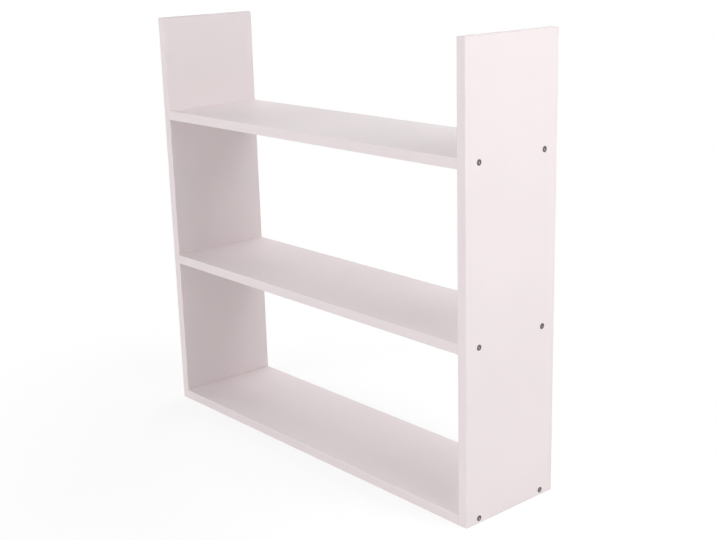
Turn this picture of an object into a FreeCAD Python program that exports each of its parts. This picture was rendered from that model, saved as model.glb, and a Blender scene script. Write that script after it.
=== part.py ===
import FreeCAD, Part
import math
import os
from typing import NamedTuple

# Open wall shelf: two upright sides carry three fixed shelves between them.
# The boards are faced chipboard, with a glued plastic band on every edge that shows.
# Screws go through the sides into the ends of the shelves. Keyhole plates, let in flush
# in the rear edges of the sides, hang the shelf on two wall screws.
#
# Millimetres. +X runs along the shelves, -Y is the front and +Z is up. The origin is the
# middle of the footprint, on the plane that the shelf stands on.


class Screw(NamedTuple):
    """A countersunk wood screw. Depths are measured from the top of the head."""

    length: float
    head_diameter: float
    head_rim: float  # straight wall of the head, above its cone
    shoulder_diameter: float
    shoulder_end: float  # depth where the smooth shoulder ends
    thread_diameter: float
    core_diameter: float
    pitch: float
    ridge_base: float  # width of the thread where it leaves the core
    ridge_crest: float  # width of the thread at its outer edge
    tip_length: float
    tip_diameter: float


# Boards
board_thickness = 18.0
board_depth = 210.0  # front to rear, before the edge bands
shelf_length = 800.0  # also the clear width between the sides
bay_height = 280.0  # clear height between one shelf and the next
side_rise = 182.0  # height of the sides above the top shelf
shelf_names = ["bottom_shelf", "middle_shelf", "top_shelf"]

# Edge bands
band_thickness = 1.0
band_round = 0.8
band_square = 0.1  # least straight part of a band's edge, below the rounding

# Screws that hold the shelves
shelf_screw = Screw(
    length=50.0,
    head_diameter=9.8,
    head_rim=0.5,
    shoulder_diameter=6.9,
    shoulder_end=12.0,
    thread_diameter=7.0,
    core_diameter=4.8,
    pitch=3.0,
    ridge_base=1.3,
    ridge_crest=0.2,
    tip_length=4.0,
    tip_diameter=2.8,
)
shelf_screw_inset = 30.0  # from the finished front and rear to the screw's axis
shelf_screw_sink = 0.3  # top of the head below the face of the side
socket_across_flats = 4.0
socket_depth = 3.5
socket_chamfer = 0.25

# Hanging plates
plate_thickness = 1.5
plate_width = 13.0
plate_length = 48.0
plate_drop = 50.0  # from the top of the side to the middle of the plate
entry_diameter = 9.0  # lets the head of the wall screw in
slot_width = 5.0  # holds the shank of the wall screw
keyhole_travel = 10.0  # from the middle of the entry up to where the shank seats
relief_depth = 10.0  # room behind the plate for the head of the wall screw
relief_margin = 0.75  # that room beyond the entry hole, all round
plate_screw_spacing = 36.0

# Screws that hold the plates
plate_screw = Screw(
    length=16.0,
    head_diameter=5.6,
    head_rim=0.15,
    shoulder_diameter=2.6,
    shoulder_end=2.0,
    thread_diameter=3.0,
    core_diameter=2.0,
    pitch=1.4,
    ridge_base=0.6,
    ridge_crest=0.12,
    tip_length=3.0,
    tip_diameter=0.6,
)
cross_width = 0.8
cross_span = 3.2
cross_depth = 1.3

# Clearances and small details
head_clearance = 0.15  # round the rim of a countersunk head
shank_clearance = 0.1  # round a thread that passes through a hole
pilot_clearance = 0.1  # round the core of a screw in its pilot hole
thread_clearance = 0.03  # round a thread in the groove that it has cut
plate_clearance = 0.1  # round a plate in its recess
pilot_margin = 4.0  # pilot hole beyond the tip of the screw
head_chamfer = 0.2
ridge_root = 0.25  # thread carried on into the core, so that the two join
ridge_margin = 0.1  # between the thread's ends and the tapers of the core
drill_point_angle = 118.0
screw_turn = 37.0  # degrees by which each screw stops turned from the one before

# Overall sizes and places that follow from the above
width = shelf_length + 2 * board_thickness
depth = board_depth + 2 * band_thickness
shelf_step = bay_height + board_thickness
shelf_heights = [level * shelf_step for level in range(len(shelf_names))]
height = shelf_heights[-1] + board_thickness + side_rise
screw_rows = {"front": -depth / 2 + shelf_screw_inset, "rear": depth / 2 - shelf_screw_inset}
sides = {"left": -1, "right": 1}
plate_height = height - plate_drop
plate_screw_offsets = {"upper": plate_screw_spacing / 2, "lower": -plate_screw_spacing / 2}
rearward = FreeCAD.Vector(0, 1, 0)


def vector(x, y, z):
    return FreeCAD.Vector(x, y, z)


def box(corner, opposite):
    """Box between two opposite corners, given in any order."""
    low = [min(a, b) for a, b in zip(corner, opposite)]
    size = [abs(a - b) for a, b in zip(corner, opposite)]
    return Part.makeBox(*size, vector(*low))


def turned(profile):
    """Solid turned about Z from (radius, depth) corners that begin and end on the axis."""
    corners = [vector(radius, 0, -down) for radius, down in profile]
    outline = Part.makePolygon(corners + corners[:1])
    return Part.Face(outline).revolve(vector(0, 0, 0), vector(0, 0, 1), 360)


def placed(shape, point, outward, turn=0.0):
    """Copy of a shape made about Z, with its top at the point and its Z axis along outward."""
    aim = FreeCAD.Rotation(vector(0, 0, 1), outward)
    spin = FreeCAD.Rotation(vector(0, 0, 1), turn)
    copy = shape.copy()
    copy.Placement = FreeCAD.Placement(point, aim * spin) * shape.Placement
    return copy


def obround(radius, low, high, thickness):
    """Slab with round ends about (0, low) and (0, high) in XZ, from Y = 0 to Y = -thickness."""
    left = vector(-radius, 0, low), vector(-radius, 0, high)
    right = vector(radius, 0, low), vector(radius, 0, high)
    edges = [
        Part.LineSegment(right[0], right[1]).toShape(),
        Part.Arc(right[1], vector(0, 0, high + radius), left[1]).toShape(),
        Part.LineSegment(left[1], left[0]).toShape(),
        Part.Arc(left[0], vector(0, 0, low - radius), right[0]).toShape(),
    ]
    return Part.Face(Part.Wire(edges)).extrude(vector(0, -thickness, 0))


def neck_end(screw):
    """Depth where the 45 degree taper from the shoulder reaches the core."""
    return screw.shoulder_end + (screw.shoulder_diameter - screw.core_diameter) / 2


def shank_profile(screw, growth=0.0):
    """(radius, depth) corners of a screw from the rim of its head down to its core, grown all round."""
    head = screw.head_diameter / 2
    shoulder = screw.shoulder_diameter / 2
    core = screw.core_diameter / 2
    return [
        (head + growth, screw.head_rim),
        (shoulder + growth, screw.head_rim + head - shoulder),
        (shoulder + growth, screw.shoulder_end),
        (core + growth, neck_end(screw)),
    ]


def screw_blank(screw):
    """Head, shoulder, core and tip of a screw, without its thread or its drive."""
    head = screw.head_diameter / 2
    chamfer = min(head_chamfer, screw.head_rim / 2)
    top = [(0, 0), (head - chamfer, 0), (head, chamfer)]
    tip = [
        (screw.core_diameter / 2, screw.length - screw.tip_length),
        (screw.tip_diameter / 2, screw.length),
        (0, screw.length),
    ]
    return turned(top + shank_profile(screw) + tip)


def thread_ridge(screw, growth=0.0):
    """Helical thread of a screw, grown all round where it is to cut a groove."""
    core = screw.core_diameter / 2
    crest = screw.thread_diameter / 2
    half_base = screw.ridge_base / 2
    half_crest = screw.ridge_crest / 2
    half_root = half_base + (half_base - half_crest) / (crest - core) * ridge_root
    start = neck_end(screw) + half_root + ridge_margin
    end = screw.length - screw.tip_length - half_root - ridge_margin
    corners = [
        vector(core - ridge_root, 0, -half_root - growth),
        vector(crest + growth, 0, -half_crest - growth),
        vector(crest + growth, 0, half_crest + growth),
        vector(core - ridge_root, 0, half_root + growth),
    ]
    section = Part.makePolygon(corners + corners[:1])
    straight = 0  # apex angle of the helix
    helix = Part.makeLongHelix(screw.pitch, end - start, core, straight)
    ridge = Part.Wire(helix).makePipeShell([section], True, True)
    ridge.translate(vector(0, 0, -end))
    return ridge


def hex_socket():
    """Cutters for a six-sided socket with a drilled bottom and a chamfered mouth."""
    flats = 6
    bore = socket_across_flats / 2
    corner_radius = bore / math.cos(math.pi / flats)
    angles = [2 * math.pi * corner / flats for corner in range(flats)]
    corners = [vector(corner_radius * math.cos(a), corner_radius * math.sin(a), 0) for a in angles]
    outline = Part.makePolygon(corners + corners[:1])
    prism = Part.Face(outline).extrude(vector(0, 0, -socket_depth))
    point = bore / math.tan(math.radians(drill_point_angle / 2))
    drilled = turned([(0, 0), (bore, 0), (bore, socket_depth), (0, socket_depth + point)])
    mouth_radius = corner_radius + socket_chamfer
    mouth = turned([(0, 0), (mouth_radius, 0), (0, mouth_radius)])
    return [prism, drilled, mouth]


def cross_recess():
    """Cutters for two crossed slots."""
    half_span = cross_span / 2
    half_width = cross_width / 2
    return [
        box((-half_span, -half_width, 0), (half_span, half_width, -cross_depth)),
        box((-half_width, -half_span, 0), (half_width, half_span, -cross_depth)),
    ]


def whole_screw(screw, drive):
    return screw_blank(screw).fuse(thread_ridge(screw)).cut(drive)


def countersunk_hole(screw, sink=0.0):
    """Cutter for a clearance hole whose cone seats the head, below a face at depth 0."""
    mouth = screw.head_diameter / 2 + head_clearance
    hole = max(screw.thread_diameter, screw.shoulder_diameter) / 2 + shank_clearance
    cone_top = sink + screw.head_rim - head_clearance
    cone_end = cone_top + mouth - hole
    through = screw.length
    return turned(
        [(0, 0), (mouth, 0), (mouth, cone_top), (hole, cone_end), (hole, through), (0, through)]
    )


def pilot_hole(screw):
    """Cutters for a screw's stepped pilot hole and its thread's groove, from the top of its head."""
    shank = shank_profile(screw, pilot_clearance)
    mouth, core = shank[0][0], shank[-1][0]
    end = screw.length + pilot_margin
    point = core / math.tan(math.radians(drill_point_angle / 2))
    drilled = turned([(0, 0), (mouth, 0)] + shank + [(core, end), (0, end + point)])
    return [drilled, thread_ridge(screw, thread_clearance)]


def shelf_screw_place(side, shelf, row):
    """Where a screw enters the face of a side, which way its head looks and how far it is turned."""
    direction = sides[side]
    mid_board = shelf_heights[shelf_names.index(shelf)] + board_thickness / 2
    place = vector(direction * width / 2, screw_rows[row], mid_board)
    count = list(sides).index(side) * len(shelf_names) + shelf_names.index(shelf)
    turn = screw_turn * (count * len(screw_rows) + list(screw_rows).index(row))
    return place, vector(direction, 0, 0), turn


def head_top(place, outward, sink):
    """Point at the top of a head that is sunk below a face."""
    return place - outward * sink


def edge_middle(side):
    """X in the middle of a side's thickness."""
    return sides[side] * (shelf_length + board_thickness) / 2


def plate_screw_place(side, position):
    """Where a screw enters the outer face of a hanging plate."""
    return vector(edge_middle(side), depth / 2, plate_height + plate_screw_offsets[position])


def at_plate(side, shape):
    """Moves a shape, made about the middle of a plate's outer face, to its place on a side."""
    shape.translate(vector(edge_middle(side), depth / 2, plate_height))
    return shape


def plate_outline(thickness, growth=0.0):
    radius = plate_width / 2
    half_span = plate_length / 2 - radius
    return obround(radius + growth, -half_span, half_span, thickness)


def plate_recess(side):
    return at_plate(side, plate_outline(plate_thickness, plate_clearance))


def hanging_plate(side):
    """Flat keyhole plate with two countersunk holes."""
    half_travel = keyhole_travel / 2
    entry = Part.makeCylinder(
        entry_diameter / 2, plate_thickness, vector(0, 0, -half_travel), -rearward
    )
    slot = obround(slot_width / 2, -half_travel, half_travel, plate_thickness)
    plate = at_plate(side, plate_outline(plate_thickness).cut([entry, slot]))
    hole = countersunk_hole(plate_screw)
    holes = [placed(hole, plate_screw_place(side, position), rearward) for position in plate_screw_offsets]
    return plate.cut(holes)


def side_panel(side):
    """Upright side board with its screw holes and the pocket for its hanging plate."""
    inner = sides[side] * shelf_length / 2
    outer = sides[side] * width / 2
    half_depth = board_depth / 2
    board = box((inner, -half_depth, band_thickness), (outer, half_depth, height - band_thickness))
    screw_hole = countersunk_hole(shelf_screw, shelf_screw_sink)
    cutters = [plate_recess(side)]
    relief_radius = entry_diameter / 2 + relief_margin
    relief = obround(
        relief_radius, -keyhole_travel / 2, keyhole_travel / 2, plate_thickness + relief_depth
    )
    cutters.append(at_plate(side, relief))
    for shelf in shelf_names:
        for row in screw_rows:
            place, outward, _ = shelf_screw_place(side, shelf, row)
            cutters.append(placed(screw_hole, place, outward))
    for position in plate_screw_offsets:
        for cutter in pilot_hole(plate_screw):
            cutters.append(placed(cutter, plate_screw_place(side, position), rearward))
    return board.cut(cutters)


def shelf_board(shelf):
    """Shelf board with threaded pilot holes in its ends."""
    low = shelf_heights[shelf_names.index(shelf)]
    half_length = shelf_length / 2
    half_depth = board_depth / 2
    board = box((-half_length, -half_depth, low), (half_length, half_depth, low + board_thickness))
    cutters = []
    for side in sides:
        for row in screw_rows:
            place, outward, turn = shelf_screw_place(side, shelf, row)
            top = head_top(place, outward, shelf_screw_sink)
            cutters += [placed(cutter, top, outward, turn) for cutter in pilot_hole(shelf_screw)]
    return board.cut(cutters)


def edge_band(corner, opposite, outward, along, round_ends=False):
    """Band with its outer long edges rounded, and the outer edges of its ends too if asked."""
    blank = box(corner, opposite)
    face = max(vertex.Point.dot(outward) for vertex in blank.Vertexes)

    def is_outer(edge):
        return all(math.isclose(vertex.Point.dot(outward), face) for vertex in edge.Vertexes)

    def is_long(edge):
        return math.isclose(abs(edge.tangentAt(edge.FirstParameter).dot(along)), 1)

    edges = [edge for edge in blank.Edges if is_outer(edge) and (round_ends or is_long(edge))]
    return blank.makeFillet(min(band_round, band_thickness - band_square), edges)


def side_bands(side):
    """Bands of a side board: front and rear run its whole height, top and bottom fit between them."""
    inner = sides[side] * shelf_length / 2
    outer = sides[side] * width / 2
    half_board = board_depth / 2
    half_depth = depth / 2
    upward = vector(0, 0, 1)
    bands = {
        "front": edge_band(
            (inner, -half_board, 0), (outer, -half_depth, height), -rearward, upward, round_ends=True
        ),
        "rear": edge_band(
            (inner, half_board, 0), (outer, half_depth, height), rearward, upward, round_ends=True
        ),
        "top": edge_band(
            (inner, -half_board, height - band_thickness), (outer, half_board, height), upward, rearward
        ),
        "bottom": edge_band(
            (inner, -half_board, 0), (outer, half_board, band_thickness), -upward, rearward
        ),
    }
    bands["rear"] = bands["rear"].cut(plate_recess(side))
    return bands


def shelf_bands(shelf):
    """Front and rear bands of a shelf, which end at the sides."""
    low = shelf_heights[shelf_names.index(shelf)]
    half_length = shelf_length / 2
    along = vector(1, 0, 0)
    bands = {}
    for edge, direction in {"front": -1, "rear": 1}.items():
        bands[edge] = edge_band(
            (-half_length, direction * board_depth / 2, low),
            (half_length, direction * depth / 2, low + board_thickness),
            rearward * direction,
            along,
        )
    return bands


def all_pieces():
    """Every piece of the shelf, by name."""
    pieces = {}
    shelf_screw_solid = whole_screw(shelf_screw, hex_socket())
    plate_screw_solid = whole_screw(plate_screw, cross_recess())
    for shelf in shelf_names:
        pieces[shelf] = shelf_board(shelf)
        for edge, band in shelf_bands(shelf).items():
            pieces[f"{shelf}_{edge}_edge_band"] = band
    for side in sides:
        pieces[f"{side}_side_panel"] = side_panel(side)
        for edge, band in side_bands(side).items():
            pieces[f"{side}_side_{edge}_edge_band"] = band
        for shelf in shelf_names:
            for row in screw_rows:
                place, outward, turn = shelf_screw_place(side, shelf, row)
                top = head_top(place, outward, shelf_screw_sink)
                pieces[f"{shelf}_{side}_{row}_screw"] = placed(shelf_screw_solid, top, outward, turn)
        pieces[f"{side}_hanging_plate"] = hanging_plate(side)
        for position in plate_screw_offsets:
            top = plate_screw_place(side, position)
            pieces[f"{side}_plate_{position}_screw"] = placed(plate_screw_solid, top, rearward)
    return pieces


def main():
    cubic_centimetre = 1000.0  # in cubic millimetres
    os.makedirs("parts", exist_ok=True)
    for name, shape in all_pieces().items():
        if len(shape.Solids) != 1 or not shape.isValid():
            raise ValueError(f"{name} is not one valid solid")
        solid = shape.Solids[0]
        solid.exportStep(f"parts/{name}.step")
        print(f"{name}: {solid.Volume / cubic_centimetre:.2f} cm3")
    print(f"overall {width:g} x {depth:g} x {height:g} mm")


main()
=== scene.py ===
import math
from typing import NamedTuple

import bpy
import numpy as np
from mathutils import Matrix, Vector


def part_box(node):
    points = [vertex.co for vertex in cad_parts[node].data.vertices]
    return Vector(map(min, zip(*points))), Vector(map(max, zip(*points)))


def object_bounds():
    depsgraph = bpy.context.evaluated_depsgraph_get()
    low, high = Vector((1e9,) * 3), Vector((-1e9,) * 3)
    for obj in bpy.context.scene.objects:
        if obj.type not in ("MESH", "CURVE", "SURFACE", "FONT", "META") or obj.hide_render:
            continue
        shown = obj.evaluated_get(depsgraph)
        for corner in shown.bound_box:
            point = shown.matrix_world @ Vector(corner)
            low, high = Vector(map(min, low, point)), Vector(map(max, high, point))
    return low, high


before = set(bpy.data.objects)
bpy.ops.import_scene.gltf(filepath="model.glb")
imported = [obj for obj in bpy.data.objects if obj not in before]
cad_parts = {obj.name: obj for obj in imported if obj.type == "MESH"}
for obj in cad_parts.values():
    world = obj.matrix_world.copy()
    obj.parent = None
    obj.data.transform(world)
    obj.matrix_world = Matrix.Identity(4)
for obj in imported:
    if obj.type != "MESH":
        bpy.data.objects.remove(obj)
cad_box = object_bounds()

# The looks of an open wall shelf in white faced chipboard. Every solid comes from the frame, and
# this script gives each one its finish, then sets the floor, the light and the camera round it.
# Metres and degrees, in the frame of the solids: +X along the shelves, -Y the open front, +Z up.
# A pair of tones or of roughnesses is for the low and the high spots of a finish's noise.


class Pattern(NamedTuple):
    """Noise in a finish: its cells per metre, and what its low and high spots do to the surface."""

    scale: float
    tone: tuple = (1.0, 1.0)  # factors on the colour
    relief: float = 0.0  # in millimetres


mm = 0.001
noise_range = 0.3, 0.7  # where most values of a noise lie
up = 2  # index of Z
open_front = Vector((0, -1, 0))
white = (1.0, 1.0, 1.0, 1.0)

# Boards: chipboard with a melamine facing on its broad faces
white_facing = (0.86, 0.783, 0.793)
facing_thickness = 0.2 * mm
facing_roughness = 0.64, 0.56
facing_specular = 0.3
facing_mottle = Pattern(6.0, tone=(0.99, 1.006))
facing_lines = Pattern(520.0, tone=(0.995, 1.004), relief=0.008)
facing_pebbles = Pattern(1500.0, tone=(0.992, 1.004), relief=0.012)
pebble_detail = 1.0
mouth_radius = 5.05 * mm  # of the countersinks in the sides
mouth_chipping = 0.5 * mm  # most that the facing is chipped beyond a countersink
mouth_chips = Pattern(1100.0)
chipped_range = 0.5, 0.8  # values of that noise over which the chipping grows

# Pressed chips, where a board is cut
chip_pale = (0.60, 0.43, 0.26)
chip_brown = (0.27, 0.16, 0.085)
chip_roughness = 0.9
coarse_chips = Pattern(380.0, relief=0.3)
fine_chips = Pattern(1300.0, relief=0.3)
chip_stretch = (1.0, 0.6, 1.0)  # scale of the coarse chips, which lie longer in the depth
fine_layer = 2.5 * mm, 5.0 * mm  # depths below a broad face over which fine chips give way to coarse
dust_share = 0.35  # of fine chips among the coarse

# Edge bands
white_band = (0.87, 0.788, 0.80)
band_roughness = 0.68, 0.60
band_specular = 0.12
band_mottle = Pattern(9.0, tone=(0.99, 1.006))
band_lines = Pattern(900.0, tone=(0.988, 1.008), relief=0.006)
band_round = 0.8 * mm  # width of the rounded edges, where a band is scraped
scraped_paler = 0.015  # added to the tone there
scraped_rougher = 0.1  # added to the roughness there
glue_brown = (0.46, 0.38, 0.33)
glue_thickness = 0.12 * mm

# Lines drawn along boards, bands and plates
line_stretch = 0.015  # scale of the noise along the lines
line_detail = 3.0
line_roughness = 0.6  # of the noise, not of the surface

# Shelf screws: the dark head colour is painted shade, and the bright socket is painted light
# Painted shade: the dark head colour stands in for the dark ring seen round the socket
dark_head_painted_shade = (0.125, 0.108, 0.108)
# Painted light: bright steel in the socket stands in for its lit far wall
socket_painted_light = (0.56, 0.55, 0.54)
steel_roughness = 0.3, 0.44
screw_cloud = Pattern(700.0, tone=(0.8, 1.25))
socket_light_tone = 0.9, 1.04
socket_radius = 2.45 * mm
socket_rim = 0.2 * mm  # over which the painted light in the socket fades into the painted shade of the head
shelf_screw_rings = 0.18 * mm  # from one turned ring to the next
shelf_screw_ring_depth = 0.002 * mm

# Hanging plates and their screws
bright_zinc = (0.36, 0.36, 0.36)
blue_zinc = (0.31, 0.33, 0.36)
plate_roughness = 0.58, 0.44
plate_lines = Pattern(1600.0, tone=(0.88, 1.06), relief=0.006)
plate_cloud = Pattern(180.0)
blue_range = 0.35, 0.7  # values of that noise over which the zinc turns bluish
plate_screw_roughness = 0.36, 0.52
plate_screw_cloud = Pattern(900.0, tone=(0.8, 1.08))
plate_screw_rings = 0.12 * mm  # from one turned ring to the next
plate_screw_ring_depth = 0.0015 * mm
cloud_detail = 3.0

# Viewpoint, with its azimuth from the open front towards the right
camera_place = (1.67239, -1.40518, 0.94683)
camera_azimuth = 49.271
camera_elevation = 15.562
camera_roll = -1.594
image_width = 716
focal_pixels = 1211.37
sensor_width = 36.0

# Light: softboxes stand round the middle of the shelf, each at its azimuth from the open front
# towards the right, its elevation, its distance and its power in watts
ambient = 0.03  # strength of the light from all round
softbox_width = 0.77  # for each metre of its distance
softbox_centre = (0.0, 0.0, 0.4)
softboxes = {
    "front_softbox": (0, 5, 6.0, 246),
    "high_front_softbox": (0, 45, 2.6, 12),
    "right_softbox": (90, 15, 2.6, 25.5),
    "high_right_softbox": (105, 45, 2.6, 28),
    "rear_softbox": (200, 15, 2.6, 29),
    "left_rear_softbox": (225, 15, 2.6, 13.5),
    "left_softbox": (270, 15, 2.6, 20),
    "overhead_softbox": (0, 85, 2.6, 2.5),
}

# Floor
floor_pale = (0.80, 0.80, 0.80, 1.0)  # as a surface that light falls on
floor_white = (1.15, 1.15, 1.15, 1.0)  # as it is seen, so that it is white where nothing shades it
floor_half_width = 60.0
shadow_near, shadow_far = 0.4, 1.05  # distances from the middle over which its own white takes over
shadow_share = 0.25  # share of the shading that shows near the shelf


def middle(node):
    """Middle of a node's box."""
    return np.mean(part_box(node), axis=0)


# Shelf screws: distance of a row from the middle of the depth, height of the lowest, and step up
_, screw_row, lowest_screw = np.abs(middle("bottom_shelf_right_front_screw"))
screw_step = middle("middle_shelf_right_front_screw")[up] - lowest_screw


class Finish:
    """Nodes of a material or world, built up like a formula: methods add nodes and return outputs."""

    def __init__(self, owner, output="ShaderNodeOutputMaterial"):
        owner.use_nodes = True
        self.owner = owner
        self.tree = owner.node_tree
        self.tree.nodes.clear()
        self.output = self.tree.nodes.new(output)

    def node(self, kind, inputs=None, **settings):
        """Adds a node, with its settings and its inputs as values or as other nodes' outputs."""
        node = self.tree.nodes.new(kind)
        for key, value in settings.items():
            setattr(node, key, value)
        for key, value in (inputs or {}).items():
            if isinstance(value, bpy.types.NodeSocket):
                self.tree.links.new(value, node.inputs[key])
            else:
                node.inputs[key].default_value = value
        return node

    def shows(self, shader):
        """Makes a shader node the one that is seen."""
        self.tree.links.new(shader.outputs[0], self.output.inputs["Surface"])

    def place(self):
        """Position on the piece in the frame of the solids."""
        return self.node("ShaderNodeTexCoord").outputs["Object"]

    def axes(self, vector):
        """X, Y and Z of a vector."""
        split = self.node("ShaderNodeSeparateXYZ", {"Vector": vector})
        return [split.outputs[axis] for axis in "XYZ"]

    def math(self, operation, a, b=0.0, c=0.0):
        """Number worked out from up to three others."""
        node = self.node("ShaderNodeMath", {0: a, 1: b, 2: c}, operation=operation)
        return node.outputs[0]

    def product(self, first, *others):
        """Numbers multiplied together."""
        for factor in others:
            first = self.math("MULTIPLY", first, factor)
        return first

    def apart(self, a, b):
        """Distance between two numbers."""
        return self.math("ABSOLUTE", self.math("SUBTRACT", a, b))

    def hypotenuse(self, a, b):
        """Square root of the sum of two squares."""
        return self.math("SQRT", self.math("MULTIPLY_ADD", a, a, self.math("MULTIPLY", b, b)))

    def ramp(self, value, low, high, to_low=0.0, to_high=1.0):
        """Carries a value from one range to another, eased and held at its ends."""
        node = self.node(
            "ShaderNodeMapRange",
            {"Value": value, "From Min": low, "From Max": high, "To Min": to_low, "To Max": to_high},
            interpolation_type="SMOOTHSTEP",
        )
        return node.outputs["Result"]

    def spread(self, noise, to_low, to_high):
        """Carries a noise's usual range to another."""
        return self.ramp(noise, *noise_range, to_low, to_high)

    def noise(self, place, pattern, detail=2.0, roughness=0.5):
        """Smooth random values from 0 to 1, at a pattern's scale."""
        node = self.node(
            "ShaderNodeTexNoise",
            {"Vector": place, "Scale": pattern.scale, "Detail": detail, "Roughness": roughness},
        )
        return node.outputs["Fac"]

    def cells(self, place, pattern):
        """Random tone of each cell, and the distance from its middle."""
        node = self.node("ShaderNodeTexVoronoi", {"Vector": place, "Scale": pattern.scale})
        return self.axes(node.outputs["Color"])[0], node.outputs["Distance"]

    def stretch(self, place, scale):
        """Place with each axis multiplied by its own scale."""
        return self.node("ShaderNodeMapping", {"Vector": place, "Scale": scale}).outputs["Vector"]

    # A Mix node's sockets for numbers and for colours share their names, so they go by their places

    def blend(self, factor, a, b):
        """Number between a and b."""
        return self.node("ShaderNodeMix", {0: factor, 2: a, 3: b}, data_type="FLOAT").outputs[0]

    def mix(self, factor, a, b):
        """Colour between a and b."""
        return self.node("ShaderNodeMix", {0: factor, 4: a, 5: b}, data_type="VECTOR").outputs[1]

    def mix_shaders(self, factor, a, b):
        """Shader node between two others."""
        return self.node("ShaderNodeMixShader", {0: factor, 1: a.outputs[0], 2: b.outputs[0]})

    def shade(self, colour, factor):
        """Colour multiplied by a factor."""
        node = self.node("ShaderNodeVectorMath", {"Vector": colour, "Scale": factor}, operation="SCALE")
        return node.outputs["Vector"]

    def bump(self, height, depth):
        """Normal tilted by the slope of a height, which counts in units of the depth."""
        return self.node("ShaderNodeBump", {"Height": height, "Distance": depth}).outputs["Normal"]

    def surface(self, **inputs):
        """Material with a Principled surface, whose sockets are given by their names, with _ for a space."""
        named = {key.replace("_", " "): value for key, value in inputs.items()}
        self.shows(self.node("ShaderNodeBsdfPrincipled", named))
        return self.owner


def dress(node, material):
    """Puts a finish on every material slot of a solid."""
    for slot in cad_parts[node].material_slots:
        slot.material = material


def screw_distance(finish, place):
    """Distance from the axis of the nearest shelf screw.

    The screws stand in two rows, as far before the middle of the depth as behind it, at equal steps
    of height, so the depth is folded at the middle and the height is wrapped to one step.
    """
    _, depth, height = finish.axes(place)
    from_row = finish.math("SUBTRACT", finish.math("ABSOLUTE", depth), screw_row)
    half_step = screw_step / 2
    wrapped = finish.math("WRAP", height, lowest_screw + half_step, lowest_screw - half_step)
    from_step = finish.math("SUBTRACT", wrapped, lowest_screw)
    return finish.hypotenuse(from_row, from_step)


def turned_rings(finish, radius, pitch):
    """Sine wave of the distance from an axis."""
    return finish.math("SINE", finish.math("MULTIPLY", radius, 2 * math.pi / pitch))


def drawn_lines(finish, place, axis, pattern):
    """Noise drawn out along one axis into fine lines."""
    along = np.ones(3)
    along[axis] = line_stretch
    return finish.noise(finish.stretch(place, along), pattern, line_detail, line_roughness)


def chipboard(finish, place, from_face):
    """Colour and relief of pressed chips: random cells, coarse in the core and fine near the broad faces."""
    coarse_tone, coarse_height = finish.cells(finish.stretch(place, chip_stretch), coarse_chips)
    fine_tone, fine_height = finish.cells(place, fine_chips)
    core = finish.ramp(from_face, *fine_layer)
    tone = finish.blend(core, fine_tone, finish.blend(dust_share, coarse_tone, fine_tone))
    height = finish.blend(
        core,
        finish.math("MULTIPLY", fine_height, fine_chips.relief),
        finish.math("MULTIPLY", coarse_height, coarse_chips.relief),
    )
    return finish.mix(tone, chip_brown, chip_pale), height


def faced_board(node):
    """White melamine on the two broad faces of a board, and pressed chips wherever it is cut.

    The facing shows where the distance to the nearer broad face, measured along the board's
    thickness, is less than the facing's own. Round the screws it is chipped to a ragged rim.
    """
    finish = Finish(bpy.data.materials.new(f"{node}_finish"))
    low, high = np.array(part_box(node))
    thin, _, long = np.argsort(high - low)
    place = finish.place()
    across = finish.apart(finish.axes(place)[thin], (low + high)[thin] / 2)
    from_face = finish.math("SUBTRACT", (high - low)[thin] / 2, across)
    faced = finish.math("LESS_THAN", from_face, facing_thickness)
    if node.endswith("side_panel"):
        ragged = finish.ramp(finish.noise(place, mouth_chips), *chipped_range, 0.0, mouth_chipping)
        rim = finish.math("ADD", ragged, mouth_radius)
        whole = finish.math("GREATER_THAN", screw_distance(finish, place), rim)
        faced = finish.product(faced, whole)

    mottle = finish.noise(place, facing_mottle)
    lines = drawn_lines(finish, place, long, facing_lines)
    pebbles = finish.noise(place, facing_pebbles, pebble_detail)
    tone = finish.product(
        finish.spread(mottle, *facing_mottle.tone),
        finish.spread(lines, *facing_lines.tone),
        finish.spread(pebbles, *facing_pebbles.tone),
    )
    pebble_height = finish.math("MULTIPLY", pebbles, facing_pebbles.relief)
    height = finish.math("MULTIPLY_ADD", lines, facing_lines.relief, pebble_height)
    chips, chip_height = chipboard(finish, place, from_face)
    return finish.surface(
        Base_Color=finish.mix(faced, chips, finish.shade(white_facing, tone)),
        Roughness=finish.blend(faced, chip_roughness, finish.spread(pebbles, *facing_roughness)),
        Specular_IOR_Level=facing_specular,
        Normal=finish.bump(finish.blend(faced, chip_height, height), mm),
    )


def edge_band(node):
    """White plastic band: fine lines along it, rounded edges scraped paler, and a glue line at the board."""
    finish = Finish(bpy.data.materials.new(f"{node}_finish"))
    low, high = np.array(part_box(node))
    thin, wide, long = np.argsort(high - low)
    place = finish.place()
    axes = finish.axes(place)
    # The glued face is the one towards the middle of the shelf
    glued_face = high[thin] if high[thin] < np.mean(cad_box, axis=0)[thin] else low[thin]
    glued = finish.math("LESS_THAN", finish.apart(axes[thin], glued_face), glue_thickness)
    half_width = (high - low)[wide] / 2
    across = finish.apart(axes[wide], (low + high)[wide] / 2)
    scraped = finish.ramp(across, half_width - band_round, half_width)

    lines = drawn_lines(finish, place, long, band_lines)
    mottle = finish.noise(place, band_mottle)
    tone = finish.product(finish.spread(mottle, *band_mottle.tone), finish.spread(lines, *band_lines.tone))
    plastic = finish.shade(white_band, finish.math("MULTIPLY_ADD", scraped, scraped_paler, tone))
    rough = finish.spread(lines, *band_roughness)
    return finish.surface(
        Base_Color=finish.mix(glued, plastic, glue_brown),
        Roughness=finish.math("MULTIPLY_ADD", scraped, scraped_rougher, rough),
        Specular_IOR_Level=band_specular,
        Normal=finish.bump(lines, band_lines.relief * mm),
    )


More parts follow.
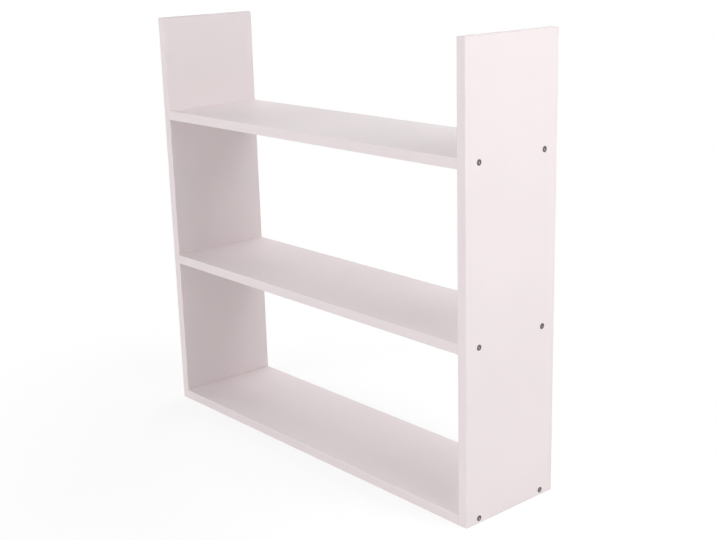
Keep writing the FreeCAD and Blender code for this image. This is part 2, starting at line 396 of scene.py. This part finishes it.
def shelf_screw_steel():
    """Steel with turned rings on the head, its head darkened as painted shade and its socket brightened as
    painted light.
    """
    finish = Finish(bpy.data.materials.new("shelf_screw_steel"))
    place = finish.place()
    radius = screw_distance(finish, place)
    cloud = finish.noise(place, screw_cloud, cloud_detail)
    # Painted light in the socket and painted shade on the head round it
    lit_socket_mask = finish.ramp(radius, socket_radius, socket_radius - socket_rim)
    shaded_head = finish.shade(dark_head_painted_shade, finish.spread(cloud, *screw_cloud.tone))
    lit_socket = finish.shade(socket_painted_light, finish.spread(cloud, *socket_light_tone))
    return finish.surface(
        Base_Color=finish.mix(lit_socket_mask, shaded_head, lit_socket),
        Metallic=1.0,
        Roughness=finish.spread(cloud, *steel_roughness),
        Normal=finish.bump(turned_rings(finish, radius, shelf_screw_rings), shelf_screw_ring_depth),
    )


def plate_zinc():
    """Zinc-plated sheet steel, bluish in patches, with fine rolling lines along its height."""
    finish = Finish(bpy.data.materials.new("plate_zinc"))
    place = finish.place()
    lines = drawn_lines(finish, place, up, plate_lines)
    cloud = finish.noise(place, plate_cloud, cloud_detail)
    zinc = finish.mix(finish.ramp(cloud, *blue_range), bright_zinc, blue_zinc)
    return finish.surface(
        Base_Color=finish.shade(zinc, finish.spread(lines, *plate_lines.tone)),
        Metallic=1.0,
        Roughness=finish.spread(lines, *plate_roughness),
        Normal=finish.bump(lines, plate_lines.relief * mm),
    )


def plate_screw_zinc(node):
    """Zinc-plated screw with rings turned on its head."""
    finish = Finish(bpy.data.materials.new(f"{node}_zinc"))
    place = finish.place()
    axis_x, _, axis_z = middle(node)
    x, _, z = finish.axes(place)
    radius = finish.hypotenuse(finish.math("SUBTRACT", x, axis_x), finish.math("SUBTRACT", z, axis_z))
    cloud = finish.noise(place, plate_screw_cloud, cloud_detail)
    return finish.surface(
        Base_Color=finish.shade(bright_zinc, finish.spread(cloud, *plate_screw_cloud.tone)),
        Metallic=1.0,
        Roughness=finish.spread(cloud, *plate_screw_roughness),
        Normal=finish.bump(turned_rings(finish, radius, plate_screw_rings), plate_screw_ring_depth),
    )


def dress_all():
    """Gives every solid the finish of its kind, which its name tells."""
    # The shelf screws' steel has painted shade on the head and painted light in the socket
    shaded_screw_steel, zinc = shelf_screw_steel(), plate_zinc()
    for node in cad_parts:
        if node.endswith(("_shelf", "_side_panel")):
            dress(node, faced_board(node))
        elif node.endswith("edge_band"):
            dress(node, edge_band(node))
        elif node.endswith("hanging_plate"):
            dress(node, zinc)
        elif "_plate_" in node:
            dress(node, plate_screw_zinc(node))
        else:
            dress(node, shaded_screw_steel)


def seen_directly(finish):
    """1 for rays that show the background itself: from the camera, or by reflection or through glass."""
    path = finish.node("ShaderNodeLightPath").outputs
    mirrored = finish.math("MAXIMUM", path["Is Glossy Ray"], path["Is Transmission Ray"])
    return finish.math("MAXIMUM", path["Is Camera Ray"], mirrored)


def pale_floor():
    """Large pale floor, white where it is seen, with part of the shadow kept near the shelf."""
    half = floor_half_width
    corners = np.array([[-half, -half, 0], [half, -half, 0], [half, half, 0], [-half, half, 0]])
    mesh = bpy.data.meshes.new("floor")
    mesh.from_pydata(corners.tolist(), [], [(0, 1, 2, 3)])
    floor = bpy.data.objects.new("floor", mesh)
    bpy.context.scene.collection.objects.link(floor)
    finish = Finish(bpy.data.materials.new("pale_floor"))
    from_middle = finish.node("ShaderNodeVectorMath", {"Vector": finish.place()}, operation="LENGTH")
    shaded = finish.ramp(from_middle.outputs["Value"], shadow_near, shadow_far, shadow_share, 0.0)
    lit = finish.node("ShaderNodeBsdfDiffuse", {"Color": floor_white})
    own_white = finish.node("ShaderNodeEmission", {"Color": white, "Strength": 1.0})
    pale = finish.node("ShaderNodeBsdfDiffuse", {"Color": floor_pale})
    seen = finish.mix_shaders(shaded, own_white, lit)
    finish.shows(finish.mix_shaders(seen_directly(finish), pale, seen))
    mesh.materials.append(finish.owner)


def white_surroundings():
    """World that lights softly from all round, and is white where it is seen."""
    world = bpy.data.worlds.new("white_surroundings")
    bpy.context.scene.world = world
    finish = Finish(world, "ShaderNodeOutputWorld")
    soft = finish.node("ShaderNodeBackground", {"Color": white, "Strength": ambient})
    own_white = finish.node("ShaderNodeBackground", {"Color": white, "Strength": 1.0})
    finish.shows(finish.mix_shaders(seen_directly(finish), soft, own_white))


def softbox(name, azimuth, elevation, distance, power):
    """Square area lamp that faces the middle of the shelf."""
    lamp = bpy.data.lights.new(name, "AREA")
    lamp.size = softbox_width * distance
    lamp.energy = power
    holder = bpy.data.objects.new(name, lamp)
    bpy.context.scene.collection.objects.link(holder)
    turn = Matrix.Rotation(math.radians(azimuth), 3, "Z")
    lift = Matrix.Rotation(math.radians(-elevation), 3, "X")
    outward = turn @ lift @ open_front
    holder.location = Vector(softbox_centre) + outward * distance
    holder.rotation_euler = outward.to_track_quat("Z", "Y").to_euler()


def photo_camera():
    """Camera turned by its azimuth and elevation, then rolled about its own axis."""
    data = bpy.data.cameras.new("camera")
    data.sensor_fit = "HORIZONTAL"
    data.sensor_width = sensor_width
    data.lens = sensor_width * focal_pixels / image_width
    camera = bpy.data.objects.new("camera", data)
    bpy.context.scene.collection.objects.link(camera)
    turn = Matrix.Rotation(math.radians(camera_azimuth), 4, "Z")
    # An unturned camera looks straight down, and a right angle lifts it to the horizon
    tilt = Matrix.Rotation(math.radians(90 - camera_elevation), 4, "X")
    roll = Matrix.Rotation(math.radians(camera_roll), 4, "Z")
    camera.matrix_world = Matrix.Translation(camera_place) @ turn @ tilt @ roll
    bpy.context.scene.camera = camera


dress_all()
pale_floor()
white_surroundings()
for name, (azimuth, elevation, distance, power) in softboxes.items():
    softbox(name, azimuth, elevation, distance, power)
photo_camera()
bpy.context.scene.view_settings.view_transform = "Standard"
